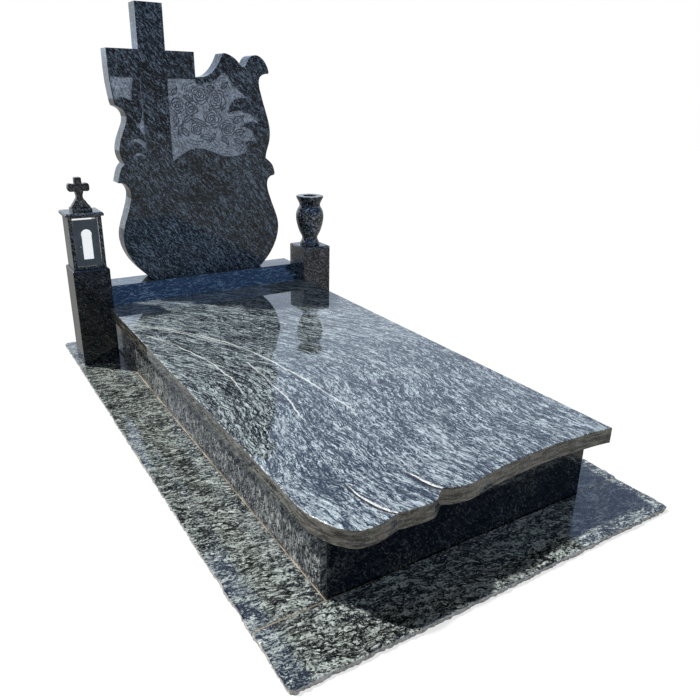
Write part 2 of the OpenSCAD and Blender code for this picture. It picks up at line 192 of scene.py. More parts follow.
def grain_group() -> bpy.types.NodeTree:
    """Builds the gneiss grain that every stone of the monument shares.

    Returns:
        A group whose Vector runs along the grain in X and across it in Y and Z, in metres.
    """
    group = bpy.data.node_groups.new("gneiss_grain", "ShaderNodeTree")
    face = group.interface
    face.new_socket("Vector", in_out="INPUT", socket_type="NodeSocketVector")
    for name in GRAIN_VALUES:
        face.new_socket(name, in_out="INPUT", socket_type="NodeSocketFloat")
    for name in GRAIN_COLOURS:
        face.new_socket(name, in_out="INPUT", socket_type="NodeSocketColor")
    for name, kind in [("Color", "NodeSocketColor"), ("Height", "NodeSocketFloat")]:
        face.new_socket(name, in_out="OUTPUT", socket_type=kind)
    n = NodeBuilder(group)
    given = n.add("NodeGroupInput").outputs
    position = given["Vector"]
    bent = n.scaled(n.drift(position, 5.5, 3.0), given["Warp"])
    ruffled = n.scaled(n.drift(position, 38.0, 2.0), n.math("MULTIPLY", given["Warp"], 0.2))
    moved = n.vector("ADD", n.vector("ADD", position, bent), ruffled)
    across = n.math("DIVIDE", 1.0, given["Width"])
    along = n.math("DIVIDE", 1.0, given["Length"])
    stretch = n.add("ShaderNodeCombineXYZ", {"X": along, "Y": across, "Z": across}).outputs[0]
    wisps_at = n.vector("MULTIPLY", moved, stretch)
    wisps = n.noise(wisps_at, 1.0, 5.0, 0.60)
    crystals = n.noise(position, 190.0, 3.0, 0.7)
    patches = n.noise(position, 6.5, 3.0, 0.6)
    level = n.math("SUBTRACT", wisps, given["Balance"])
    for value, share in ((crystals, "Speck"), (patches, "Patch")):
        level = n.math("ADD", level, n.math("MULTIPLY", n.math("SUBTRACT", value, 0.5), given[share]))
    level = n.math("ADD", n.math("MULTIPLY", level, given["Contrast"]), 0.5, True)
    dark_mid = n.mix(n.remap(level, 0.0, 0.5), given["Dark"], given["Mid"])
    colour = n.mix(n.remap(level, 0.46, 1.0), dark_mid, given["Light"])
    for share, scale, shift, half in SEAMS:
        seam_at = n.vector("MULTIPLY", n.vector("ADD", wisps_at, shift), scale)
        seam = n.math("ABSOLUTE", n.math("SUBTRACT", n.noise(seam_at, 1.0, 4.0, 0.62), 0.5))
        gate = n.remap(n.noise(seam_at, 0.45, 1.0), 0.40, 0.56, 0.40, 1.0)
        mask = n.math("MULTIPLY", n.math("MULTIPLY", n.remap(seam, 0.0, half, 1.0, 0.0), gate), given[share])
        colour = n.mix(mask, colour, given["Dark"])
    out = n.add("NodeGroupOutput")
    n.feed(out, "Color", colour)
    n.feed(out, "Height", n.math("ADD", n.math("MULTIPLY", level, 0.5), n.math("MULTIPLY", crystals, 0.5)))
    return group


GRAIN = grain_group()
VEIN_COLOUR = (0.76, 0.80, 0.80)
# the slab edge's beds: their tones are the stone's layering; the brown tint that they are laid over is a
# painted reflection of sunlit ground
BED_COLOURS = ((0.005, 0.005, 0.004), (0.23, 0.21, 0.17))
BED_GROUND_REFLECTION_TINT = (0.85, 0.74, 0.60)
DUST_COLOUR = (0.74, 0.73, 0.68)
# painted shade that darkens the carving's cut lines
GROOVE_SHADE_COLOUR = (0.012, 0.016, 0.022)
# the slab's long pale veins: cubic X of Y, half width, and the Y range that they show in
LONG_VEINS = (
    ((-0.1554, -0.2148, -0.3876, -0.3303), 0.0044, -0.60, 0.57),
    ((-0.1734, -0.2148, -0.3876, -0.3303), 0.0034, 0.10, 0.57),
    ((-0.3350, -0.0888, -0.4921, 0.0), 0.0034, -0.32, 0.42),
    ((-0.2279, -0.0525, -0.2381, 0.0), 0.0032, -0.60, -0.02),
)


class Finish:
    """A surface finish, whose material is made once and then shared by its name."""

    name: str

    def material(self) -> bpy.types.Material:
        """Returns the finish's material."""
        made = bpy.data.materials.get(self.name)
        if made is None:
            made = bpy.data.materials.new(self.name)
            n = empty_tree(made)
            here = n.add("ShaderNodeTexCoord").outputs["Object"]
            n.add("ShaderNodeOutputMaterial", {0: self.shader(n, here)})
        return made

    def shader(self, n: NodeBuilder, here: Socket) -> Socket:
        """Builds the surface's shader.

        Args:
            n: the builder on the material's tree.
            here: the place on the surface, in metres.

        Returns:
            The shader's output.
        """
        raise NotImplementedError


@dataclass(frozen=True)
class Granite(Finish):
    """One stone's polish, colours and run of grain."""

    name: str
    slot: str
    dark: Triple
    mid: Triple
    light: Triple
    length: float = 0.016
    width: float = 0.0048
    warp: float = 0.06
    contrast: float = 4.6
    balance: float = 0.5
    speck: float = 0.45
    patch: float = 0.25
    streaks: float = 0.6
    net: float = 0.5
    turn: Triple = (0.0, 0.0, 0.0)
    flow: Flow = Flow.STRAIGHT
    polish: float = 0.045
    coat: float = 0.0
    beds_and_ground_reflection: bool = False
    groove_shaded: bool = False
    split: bool = False
    bump: float = 0.0

    def eased(self) -> "Granite":
        """Returns the paler, duller finish of the stone's eased arrises."""
        lifts = ((self.dark, 2.0, 0.020), (self.mid, 1.7, 0.050), (self.light, 1.15, 0.060))
        dark, mid, light = (tuple(min(0.85, a * lift + pale) for a in tone) for tone, lift, pale in lifts)
        return replace(self, name=f"{self.name}_arris", dark=dark, mid=mid, light=light, beds_and_ground_reflection=False,
                       polish=0.16, coat=0.0)

    def grain_space(self, n: NodeBuilder, here: Socket) -> Socket:
        """Turns or sweeps coordinates into the stone's grain.

        Args:
            n: the builder on the material's tree.
            here: the place on the surface, in metres.

        Returns:
            The same place with X along the grain.
        """
        if self.flow is Flow.STRAIGHT:
            turned = {"Vector": here, "Rotation": tuple(math.radians(a) for a in self.turn)}
            return n.add("ShaderNodeMapping", turned, vector_type="TEXTURE").outputs[0]
        part = n.add("ShaderNodeSeparateXYZ", {0: here}).outputs
        back = n.math("MAXIMUM", n.math("ADD", part[1], 0.27), 0.0)
        sweep = n.math("MULTIPLY", n.math("MULTIPLY", back, back), 0.56)
        wave = n.math("MULTIPLY", n.math("SINE", n.math("MULTIPLY", part[1], 6.0)), 0.035)
        across = n.math("ADD", n.math("ADD", part[0], sweep), wave)
        return n.add("ShaderNodeCombineXYZ", {"X": part[1], "Y": across, "Z": part[2]}).outputs[0]

    @staticmethod
    def long_veins(n: NodeBuilder, here: Socket) -> Socket:
        """Draws the slab's long pale veins, each with X a cubic in Y.

        Args:
            n: the builder on the material's tree.
            here: the place on the surface, in metres.

        Returns:
            A mask, 1 in a vein.
        """
        moved = n.vector("ADD", here, n.vector("MULTIPLY", n.drift(here, 7.0, 4.0, 0.6), (0.034, 0.034, 0.0)))
        part = n.add("ShaderNodeSeparateXYZ", {0: moved}).outputs
        faded = n.remap(n.noise(here, 5.0, 3.0), 0.42, 0.54, 0.50, 1.0)
        mask = None
        for cubic, half, low, high in LONG_VEINS:
            course = cubic[3]
            for factor in reversed(cubic[:3]):
                course = n.math("ADD", n.math("MULTIPLY", course, part[1]), factor)
            gap = n.math("ABSOLUTE", n.math("SUBTRACT", part[0], course))
            ends = n.math("MULTIPLY", n.remap(part[1], low, low + 0.15), n.remap(part[1], high, high - 0.02))
            seen = n.math("MULTIPLY", n.remap(gap, half * 0.45, half, 1.0, 0.0), ends)
            mask = seen if mask is None else n.math("MAXIMUM", mask, seen)
        return n.math("MULTIPLY", mask, faded)

    @staticmethod
    def upright(n: NodeBuilder) -> Socket:
        """Returns a mask of the stone's upright faces."""
        normal = n.add("ShaderNodeTexCoord").outputs["Normal"]
        up = n.add("ShaderNodeSeparateXYZ", {0: normal}).outputs[2]
        return n.remap(n.math("ABSOLUTE", up), 0.30, 0.60, 1.0, 0.0)

    @staticmethod
    def beds(n: NodeBuilder, here: Socket, colour: Socket) -> Socket:
        """Lays thin beds along a sawn edge, tinted brown as a painted reflection of sunlit ground.

        Args:
            n: the builder on the material's tree.
            here: the place on the surface, in metres.
            colour: the stone's own colour.

        Returns:
            The edge's colour.
        """
        beds = n.noise(n.vector("MULTIPLY", here, (18.0, 18.0, 130.0)), 1.0, 5.0, 0.70)
        tone = n.mix(n.remap(beds, 0.43, 0.59), *map(rgba, BED_COLOURS))
        return n.mix(0.28, tone, n.mix(1.0, colour, rgba(BED_GROUND_REFLECTION_TINT), "MULTIPLY"))

    @staticmethod
    def broken(n: NodeBuilder, here: Socket, colour: Socket) -> Socket:
        """Returns the colour of a hammer-split edge, dusty and pale."""
        dust = n.noise(here, 120.0, 4.0, 0.7)
        return n.mix(n.remap(dust, 0.34, 0.60, 0.35, 1.0), colour, rgba(DUST_COLOUR))

    def shader(self, n: NodeBuilder, here: Socket) -> Socket:
        """Builds the surface's shader.

        Args:
            n: the builder on the material's tree.
            here: the place on the surface, in metres.

        Returns:
            The shader's output.
        """
        space = self.grain_space(n, here)
        grain = n.add("ShaderNodeGroup", node_tree=GRAIN)
        n.feed(grain, "Vector", space)
        for name in GRAIN_VALUES:
            n.feed(grain, name, getattr(self, name.lower()))
        for name in GRAIN_COLOURS:
            n.feed(grain, name, rgba(getattr(self, name.lower())))
        colour = grain.outputs["Color"]
        if self.flow is Flow.SWEPT:
            vein = n.math("MULTIPLY", self.long_veins(n, here), 0.92)
            colour = n.mix(vein, colour, rgba(VEIN_COLOUR))
        # upright faces get the stone's beds, tinted brown as a painted reflection of sunlit ground
        if self.beds_and_ground_reflection:
            colour = n.mix(self.upright(n), colour, self.beds(n, here, colour))
        if self.split:
            colour = n.mix(self.upright(n), colour, self.broken(n, here, colour))
        # painted shade: the carving's cut lines are darkened by their depth, standing in for the shade in
        # them
        if self.groove_shaded:
            groove_shade = n.add("ShaderNodeAttribute", attribute_name="groove_shade").outputs["Fac"]
            colour = n.mix(n.math("MULTIPLY", groove_shade, 0.88), colour, rgba(GROOVE_SHADE_COLOUR))
        rough = n.math("ADD", n.math("MULTIPLY", n.noise(space, 9.0, 3.0), 0.04), self.polish - 0.02)
        shader = n.add("ShaderNodeBsdfPrincipled", {"Base Color": colour, "Roughness": rough, "IOR": 1.55,
                                                    "Coat Weight": self.coat, "Coat Roughness": 0.02})
        if self.bump:
            pits = {"Strength": 1.0, "Distance": self.bump, "Height": grain.outputs["Height"]}
            n.feed(shader, "Normal", n.add("ShaderNodeBump", pits).outputs[0])
        return shader.outputs[0]


@dataclass(frozen=True)
class Mortar(Finish):
    """Sandy jointing mortar."""

    name: str = "sandy_mortar"
    pale: Triple = (0.50, 0.42, 0.32)
    dark: Triple = (0.13, 0.11, 0.085)

    def shader(self, n: NodeBuilder, here: Socket) -> Socket:
        """Builds the surface's shader.

        Args:
            n: the builder on the material's tree.
            here: the place on the surface, in metres.

        Returns:
            The shader's output.
        """
        grit = n.noise(here, 900.0, 3.0, 0.7)
        stain = n.noise(here, 14.0, 3.0)
        level = n.math("ADD", n.math("MULTIPLY", grit, 0.5), n.math("MULTIPLY", stain, 0.5))
        colour = n.mix(n.remap(level, 0.44, 0.56), rgba(self.dark), rgba(self.pale))
        relief = n.add("ShaderNodeBump", {"Strength": 0.8, "Distance": 0.0006, "Height": grit})
        shader = n.add("ShaderNodeBsdfPrincipled", {"Base Color": colour, "Roughness": 0.9,
                                                    "Normal": relief.outputs[0]})
        return shader.outputs[0]


@dataclass(frozen=True)
class Metal(Finish):
    """Painted or plain metal with fine wear in its gloss."""

    name: str
    colour: Triple
    worn: Triple
    metallic: float
    roughness: float

    def shader(self, n: NodeBuilder, here: Socket) -> Socket:
        """Builds the surface's shader.

        Args:
            n: the builder on the material's tree.
            here: the place on the surface, in metres.

        Returns:
            The shader's output.
        """
        speck = n.noise(here, 260.0, 4.0, 0.65)
        cloud = n.noise(here, 22.0, 3.0)
        colour = n.mix(n.remap(cloud, 0.35, 0.7), rgba(self.colour), rgba(self.worn))
        rough = n.math("ADD", n.math("MULTIPLY", speck, 0.16), self.roughness - 0.08)
        relief = n.add("ShaderNodeBump", {"Strength": 0.35, "Distance": 0.0002, "Height": speck})
        shader = n.add("ShaderNodeBsdfPrincipled", {"Base Color": colour, "Roughness": rough,
                                                    "Metallic": self.metallic, "Normal": relief.outputs[0]})
        return shader.outputs[0]


@dataclass(frozen=True)
class Glass(Finish):
    """Clear window glass."""

    name: str = "clear_window_glass"

    def shader(self, n: NodeBuilder, here: Socket) -> Socket:
        """Builds the surface's shader.

        Args:
            n: the builder on the material's tree.
            here: the place on the surface, in metres.

        Returns:
            The shader's output.
        """
        film = n.remap(n.noise(here, 18.0, 3.0), 0.4, 0.75, 0.0, 0.05)
        shader = n.add("ShaderNodeBsdfPrincipled", {"Base Color": (0.96, 0.98, 1.0, 1.0), "Roughness": film,
                                                    "IOR": 1.45, "Transmission Weight": 1.0})
        return shader.outputs[0]


# the numbers after each stone's three colours: grain length and width, warp, contrast, balance, and the
# shares of specks, patches, streaks and net
SLAB_STONE = Granite("slab_gneiss", "slab_granite", (0.002, 0.004, 0.006), (0.165, 0.210, 0.232),
                     (0.60, 0.71, 0.77), 0.030, 0.0052, 0.065, 6.2, 0.458, 0.60, 0.20, 1.00, 0.85,
                     flow=Flow.SWEPT, polish=0.035, coat=0.45, beds_and_ground_reflection=True)
APRON_STONE = Granite("paving_gneiss", "apron_granite", (0.004, 0.005, 0.006), (0.140, 0.168, 0.160),
                      (0.55, 0.62, 0.60), 0.015, 0.0058, 0.085, 5.6, 0.432, 1.00, 0.25, 1.0, 1.0,
                      turn=(0.0, 0.0, -12.0), polish=0.10, coat=0.25, split=True)
KERB_STONE = Granite("kerb_gneiss", "kerb_granite", (0.003, 0.003, 0.004), (0.098, 0.104, 0.106),
                     (0.62, 0.65, 0.655), 0.022, 0.0060, 0.05, 7.8, 0.462, 0.80, 0.35, 1.0, 0.8,
                     turn=(0.0, 68.0, 0.0))
# painted shade: the kerb's front is a much darker copy of the kerb's granite, standing in for the shade under
# the slab's overhang
KERB_FRONT_PAINTED_SHADE_STONE = Granite("kerb_front_painted_shade_gneiss", "kerb_granite", (0.001, 0.001, 0.001), (0.007, 0.010, 0.009),
                           (0.085, 0.102, 0.095), 0.014, 0.0056, 0.05, 6.4, 0.55, 0.60, 0.40, 0.8, 0.6,
                           turn=(0.0, 55.0, 0.0))
BASE_STONE = Granite("base_gneiss", "base_granite", (0.002, 0.005, 0.010), (0.026, 0.050, 0.080),
                     (0.20, 0.31, 0.42), 0.028, 0.0060, 0.06, 7.0, 0.500, 0.55, 0.25, 1.0, 0.5, coat=0.4)
HEAD_STONE = Granite("headstone_gneiss", "headstone_granite", (0.001, 0.003, 0.006), (0.042, 0.060, 0.084),
                     (0.27, 0.36, 0.47), 0.018, 0.0050, 0.05, 6.2, 0.484, 0.55, 0.18, 1.0, 0.50,
                     turn=(0.0, 48.0, 0.0))
SUNK_STONE = Granite("headstone_sunk_field", "headstone_granite", (0.130, 0.150, 0.180), (0.48, 0.55, 0.67),
                     (0.70, 0.78, 0.90), 0.009, 0.0045, 0.02, 4.6, 0.48, 0.7, 0.2, 0.6, 0.2,
                     turn=(0.0, 48.0, 0.0), polish=0.62, groove_shaded=True, bump=0.0006)
# painted shade and painted light: both pedestals are one granite, the lantern pedestal's copy much darker for
# the shade on it and the vase pedestal's copy paler for the light on it
POST_PAINTED_SHADE_STONE = Granite("pedestal_painted_shade_gneiss", "pedestal_granite", (0.001, 0.001, 0.002), (0.005, 0.007, 0.010),
                     (0.115, 0.137, 0.155), 0.014, 0.0054, 0.05, 7.2, 0.54, 0.55, 0.35, 0.9, 0.5,
                     turn=(0.0, 35.0, 0.0))
VASE_POST_PAINTED_LIGHT_STONE = Granite("vase_pedestal_painted_light_gneiss", "pedestal_granite", (0.003, 0.004, 0.006),
                          (0.042, 0.049, 0.060), (0.32, 0.34, 0.38), 0.014, 0.0054, 0.05, 7.0, 0.490,
                          0.55, 0.25, 0.9, 0.5, turn=(0.0, 35.0, 0.0))
LANTERN_STONE = Granite("lantern_gneiss", "lantern_granite", (0.001, 0.002, 0.004), (0.022, 0.028, 0.036),
                        (0.27, 0.30, 0.33), 0.012, 0.0042, 0.04, 7.0, 0.51, 0.5, 0.25, 0.8, 0.3,
                        turn=(0.0, 60.0, 0.0))
VASE_STONE = Granite("vase_gneiss", "vase_granite", (0.001, 0.002, 0.004), (0.030, 0.040, 0.053),
                     (0.50, 0.56, 0.61), 0.015, 0.0056, 0.04, 7.4, 0.515, 0.55, 0.25, 0.9, 0.4,
                     turn=(0.0, 25.0, 0.0))
# painted light and painted shade: the scroll cuts' wide side is a pale copy of the arris finish for the light
# on it, the steep side a near-black copy for the shade in it
CUT_PAINTED_LIGHT = replace(SLAB_STONE.eased(), name="slab_scroll_cut_painted_light", dark=(0.22, 0.25, 0.27),
                  mid=(0.50, 0.55, 0.57), light=(0.78, 0.82, 0.83), streaks=0.2, net=0.2, polish=0.5)
CUT_PAINTED_SHADE = replace(SLAB_STONE.eased(), name="slab_scroll_cut_painted_shade", dark=(0.006, 0.006, 0.007),
                    mid=(0.030, 0.026, 0.026), light=(0.12, 0.10, 0.10), polish=0.5)
MORTAR = Mortar()
DOOR_PAINT = Metal("door_blue_grey_paint", (0.088, 0.108, 0.130), (0.118, 0.140, 0.166), 0.0, 0.34)
PALE_METAL = Metal("pale_knob_metal", (0.74, 0.72, 0.67), (0.62, 0.60, 0.56), 0.35, 0.38)
GLASS = Glass()


def solid_copy(node: str) -> Shape:
    """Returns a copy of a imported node's shape, with points merged within WELD and faces within FLAT.

    Args:
        node: the node's name.
    """
    shape = bmesh.new()
    shape.from_mesh(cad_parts[node].data)
    bmesh.ops.remove_doubles(shape, verts=shape.verts, dist=WELD)
    bmesh.ops.dissolve_limit(shape, angle_limit=FLAT, verts=shape.verts[:], edges=shape.edges[:])
    bmesh.ops.recalc_face_normals(shape, faces=shape.faces)
    return shape


def sharp_edges(shape: Shape, least: float = 28.0) -> list[bmesh.types.BMEdge]:
    """Returns the edges whose faces meet at more than an angle in degrees."""
    limit = math.radians(least)
    return [e for e in shape.edges if len(e.link_faces) == 2 and e.calc_face_angle(0.0) > limit]


def ease(shape: Shape, width: float, segments: int = 2, edges: Optional[list] = None,
         material: int = -1) -> None:
    """Eases a solid's arrises.

    Args:
        shape: the solid.
        width: the arris width, in metres.
        segments: the number of steps round it.
        edges: the edges to ease, or every sharp one.
        material: the new faces' material index, or -1 for their neighbours' own.
    """
    bmesh.ops.bevel(shape, geom=edges or sharp_edges(shape), offset=width, offset_type="OFFSET",
                    segments=segments, profile=0.5, affect="EDGES", clamp_overlap=True, material=material)


def put(name: str, data: bpy.types.ID) -> bpy.types.Object:
    """Returns a new object of the scene that holds the data."""
    made = bpy.data.objects.new(name, data)
    bpy.context.scene.collection.objects.link(made)
    return made


def mesh_of(shape: Shape, name: str, finishes: Iterable[Finish] = ()) -> bpy.types.Mesh:
    """Turns a shape into a mesh with its materials.

    Args:
        shape: the shape, freed here.
        name: the mesh's name.
        finishes: one finish for each material index.

    Returns:
        The mesh.
    """
    mesh = bpy.data.meshes.new(name)
    shape.to_mesh(mesh)
    shape.free()
    for finish in finishes:
        mesh.materials.append(finish.material())
    return mesh


def finish_piece(shape: Shape, name: str, finishes: Sequence[Finish], body: str = BODY,
                 replaced: Iterable[str] = (), smooth: float = 34.0) -> bpy.types.Object:
    """Turns a bmesh into a placed and dressed piece.

    Args:
        shape: the piece's shape, freed here.
        name: the piece's name.
        finishes: one finish for each material index.
        body: the body that the piece rides on.
        replaced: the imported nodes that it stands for.
        smooth: faces that meet at less than this, in degrees, shade as one.

    Returns:
        The piece's object.
    """
    mesh = mesh_of(shape, name, finishes)
    mesh.shade_smooth()
    mesh.set_sharp_from_angle(angle=math.radians(smooth))
    piece = put(name, mesh)
    level = piece.modifiers.new("flat_faces", "WEIGHTED_NORMAL")
    level.mode = "FACE_AREA"
    level.keep_sharp = True
    level.weight = 90
    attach(piece, body)
    if replaced:
        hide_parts(*replaced)
    log.info("%s: %d faces", name, len(mesh.polygons))
    return piece


@dataclass
class DressedStone:
    """A plain sawn and polished stone: its node's shape with eased arrises."""

    node: str
    finish: Granite
    arris: float = 0.0012
    segments: int = 2

    def build(self) -> bpy.types.Object:
        """Returns the finished stone."""
        shape = solid_copy(self.node)
        ease(shape, self.arris, self.segments, material=1)
        return finish_piece(shape, f"{self.node}_stone", [self.finish, self.finish.eased()],
                            replaced=[self.node])


def slice_across(shape: Shape, axis: int, at: float) -> None:
    """Cuts every face along one plane, keeping both halves.

    Args:
        shape: the shape to cut.
        axis: the axis that the plane is square to, 0 to 2.
        at: the plane's place on it.
    """
    normal = Vector((0.0, 0.0, 0.0))
    normal[axis] = 1.0
    bmesh.ops.bisect_plane(shape, geom=shape.verts[:] + shape.edges[:] + shape.faces[:], dist=1e-6,
                           plane_co=normal * at, plane_no=normal)


def slice_evenly(shape: Shape, axis: int, low: Vector, high: Vector, parts: int) -> None:
    """Cuts a shape into a number of equal parts along one axis.

    Args:
        shape: the shape to cut.
        axis: the axis, 0 to 2.
        low: the shape's lowest corner.
        high: its highest corner.
        parts: the number of parts.
    """
    for k in range(1, parts):
        slice_across(shape, axis, low[axis] + (high[axis] - low[axis]) * k / parts)


INWARD = {"left": Vector((1, 0, 0)), "right": Vector((-1, 0, 0)),
          "front": Vector((0, 1, 0)), "rear": Vector((0, -1, 0))}


@dataclass
class PavingPlate:
    """A paving plate, polished on top, with hand-split outer edges."""

    node: str
    split_sides: tuple[str, ...]
    seed: float
    step: float = 0.007
    levels: int = 3
    reach: float = 0.0045
    fringe: float = 0.014
    corner: float = 0.022
    trimmed: Optional[str] = None
    trim: float = 0.006
    breaks: Triple = (17.0, 75.0, 210.0)
    nick: float = 0.0014

    @staticmethod
    def gaps(co: Vector, low: Vector, high: Vector) -> dict[str, float]:
        """Returns how far a point lies in from each side."""
        return {"left": co.x - low.x, "right": high.x - co.x,
                "front": co.y - low.y, "rear": high.y - co.y}

    def build(self) -> bpy.types.Object:
        """Returns the finished plate."""
        low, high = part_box(self.node)
        shape = solid_copy(self.node)
        for axis, sides in ((0, {"front", "rear"}), (1, {"left", "right"})):
            if sides & set(self.split_sides):
                slice_evenly(shape, axis, low, high, int((high[axis] - low[axis]) / self.step))
        for side in self.split_sides:
            axis = 0 if side in ("left", "right") else 1
            start, way = (low[axis], 1.0) if side in ("left", "front") else (high[axis], -1.0)
            for share in (0.25, 0.55, 1.0):
                slice_across(shape, axis, start + way * share * self.fringe)
        slice_evenly(shape, 2, low, high, self.levels)
        self.split(shape, low, high)
        return finish_piece(shape, f"{self.node}_plate", [APRON_STONE],
                            replaced=[self.node], smooth=26.0)

    def split(self, shape: Shape, low: Vector, high: Vector) -> None:
        """Pushes the outer sides in unevenly, as a hammer leaves them.

        Args:
            shape: the plate's shape.
            low: its lowest corner.
            high: its highest corner.
        """
        for vert in shape.verts:
            start = vert.co.copy()
            gaps = self.gaps(start, low, high)
            depth = (high.z - start.z) / (high.z - low.z)
            place = start + Vector((self.seed, self.seed * 0.7, 0.0))
            for side in self.split_sides:
                near = max(0.0, 1.0 - gaps[side] / self.fringe)
                if near <= 0.0:
                    continue
                broad, chip, fine = (noise.noise(place * scale) for scale in self.breaks)
                push = self.reach * (0.75 + 0.8 * broad + 0.65 * chip + 0.35 * fine)
                push += self.reach * 0.4 * depth * (0.6 + fine)
                if side == self.trimmed:
                    push += self.trim
                vert.co += INWARD[side] * max(0.0, push) * near
                if depth < 0.01 and near > 0.99:
                    vert.co.z -= self.nick * max(0.0, 0.45 + chip + 0.8 * fine)
            vert.co += self.rounding(gaps)

    def rounding(self, gaps: dict[str, float]) -> Vector:
        """Knocks off a corner between two split sides.

        Args:
            gaps: how far the point lies in from each side.

        Returns:
            The move, zero away from the corners.
        """
        inside = [(INWARD[side], self.corner - gaps[side]) for side in self.split_sides
                  if gaps[side] < self.corner]
        if len(inside) < 2:
            return Vector((0.0, 0.0, 0.0))
        (way, deep), (other_way, other_deep) = inside
        out = math.hypot(deep, other_deep)
        over = max(0.0, out - self.corner) / out
        return way * deep * over + other_way * other_deep * over


@dataclass
class JointMortar:
    """The mortar in the joints round the kerb."""

    node: str = "mortar_joint"
    step: float = 0.012
    raked: float = 0.0035
    raked_over: float = 0.25
    waves: Point = (60.0, 240.0)

    def build(self) -> bpy.types.Object:
        """Returns the finished mortar."""
        low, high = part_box(self.node)
        shape = solid_copy(self.node)
        for axis in (0, 1):
            slice_evenly(shape, axis, low, high, int((high[axis] - low[axis]) / self.step))
        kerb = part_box("kerb_front")[0]
        for vert in shape.verts:
            if vert.co.z > high.z - 0.1 * MM:
                broad, fine = (noise.noise(vert.co * scale) for scale in self.waves)
                uneven = 0.0008 * broad + 0.0006 * fine + 0.0006
                in_front = vert.co.y < kerb.y + MM
                raked = min(1.0, max(0.0, (vert.co.x - kerb.x) / self.raked_over)) if in_front else 0.0
                vert.co.z += uneven - self.raked * raked * (1.0 + noise.noise(vert.co * 30.0))
        return finish_piece(shape, "mortar_joint_fill", [MORTAR], replaced=[self.node])


@dataclass
class CoverSlab:
    """The cover slab: its eased edge, and two scroll cuts that run into the cusps of its front wave."""

    node: str = "cover_slab"
    arris: float = 0.0036
    cuts: tuple[tuple[Point, ...], ...] = (
        ((-0.338, -0.870), (-0.340, -0.922), (-0.336, -0.949), (-0.330, -0.976), (-0.324, -0.995),
         (-0.317, -1.011), (-0.309, -1.027), (-0.297, -1.040), (-0.280, -1.052)),
        ((-0.179, -0.903), (-0.169, -0.932), (-0.166, -0.952), (-0.161, -0.972), (-0.156, -0.990),
         (-0.148, -1.004), (-0.138, -1.018), (-0.124, -1.032)))
    cut_depth: float = 0.0040
    cut_width: float = 0.0125
    cut_knee: float = 0.45
    cut_start: float = 0.22
    clearance: float = 0.003

    def cutter(self, path: Sequence[Point], top: float) -> bpy.types.Object:
        """Makes a tapering wedge along a scroll line, shallow on the right and steep on the left.

        Args:
            path: the scroll line's points in X and Y.
            top: the height of the slab's face.

        Returns:
            The wedge's object.
        """
        shape = bmesh.new()
        points = smooth_path([Vector((x, y, 0.0)) for x, y in path], 4)
        rings = []
        for i, here in enumerate(points):
            t = i / (len(points) - 1)
            ahead = points[min(i + 1, len(points) - 1)] - points[max(i - 1, 0)]
            side = Vector((-ahead.y, ahead.x, 0.0)).normalized()
            grow = self.cut_start + (1.0 - self.cut_start) * math.sin(math.pi * t ** 0.9)
            half, deep = self.cut_width * 0.5 * grow, self.cut_depth * grow
            over = 1.0 + self.clearance / (self.cut_knee * deep)
            corners = [(over, self.clearance), (-over, self.clearance), (-self.cut_knee, -deep),
                       (0.0, -self.cut_knee * deep)]
            ring = [shape.verts.new(here + side * half * out + Vector((0, 0, top + up)))
                    for out, up in corners]
            for a in range(4):
                shape.edges.new((ring[a], ring[(a + 1) % 4]))
            rings.append(ring)
        for a, b in zip(rings, rings[1:]):
            loop = [shape.edges.get((r[k], r[(k + 1) % 4])) for r in (a, b) for k in range(4)]
            bmesh.ops.bridge_loops(shape, edges=loop)
        bmesh.ops.holes_fill(shape, edges=shape.edges[:], sides=4)
        bmesh.ops.recalc_face_normals(shape, faces=shape.faces)
        for face in shape.faces:
            # the shallow side takes the pale finish with painted light, the other faces the near-black one
            # with painted shade
            shallow = face.normal.x > 0.0 and abs(face.normal.z) > 0.88
            face.material_index = 2 if shallow else 3
        return put("scroll_cutter", mesh_of(shape, "scroll_cutter", self.finishes()))

    @staticmethod
    def finishes() -> list[Granite]:
        """Returns the slab's finishes: face, arris, and the scroll cuts' wide side with painted light and
        steep side with painted shade.
        """
        return [SLAB_STONE, SLAB_STONE.eased(), CUT_PAINTED_LIGHT, CUT_PAINTED_SHADE]

    def build(self) -> bpy.types.Object:
        """Returns the finished slab."""
        low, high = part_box(self.node)
        shape = solid_copy(self.node)
        top = [e for e in sharp_edges(shape) if min(v.co.z for v in e.verts) > high.z - MM]
        ease(shape, self.arris, segments=5, edges=top, material=1)
        foot = [e for e in sharp_edges(shape) if max(v.co.z for v in e.verts) < low.z + MM]
        ease(shape, self.arris * 0.4, edges=foot)
        slab = finish_piece(shape, "cover_slab_stone", self.finishes(), replaced=[self.node])
        for path in self.cuts:
            carve(slab, self.cutter(path, high.z))
        slab.data.set_sharp_from_angle(angle=math.radians(30.0))
        return slab


def carve(piece: bpy.types.Object, tool: bpy.types.Object) -> None:
    """Cuts a tool out of a piece for good and removes the tool.

    Args:
        piece: the piece to cut.
        tool: the closed shape to cut out of it.
    """
    cut = piece.modifiers.new("carve", "BOOLEAN")
    cut.operation = "DIFFERENCE"
    cut.solver = "EXACT"
    cut.object = tool
    levels = piece.modifiers["flat_faces"]
    levels.show_viewport = False
    bpy.context.view_layer.update()
    made = bpy.data.meshes.new_from_object(piece.evaluated_get(bpy.context.evaluated_depsgraph_get()))
    levels.show_viewport = True
    piece.modifiers.remove(cut)
    old = piece.data
    made.name = old.name
    piece.data = made
    bpy.data.meshes.remove(old)
    bpy.data.objects.remove(tool)
    log.info("%s: %d faces once cut", piece.name, len(made.polygons))


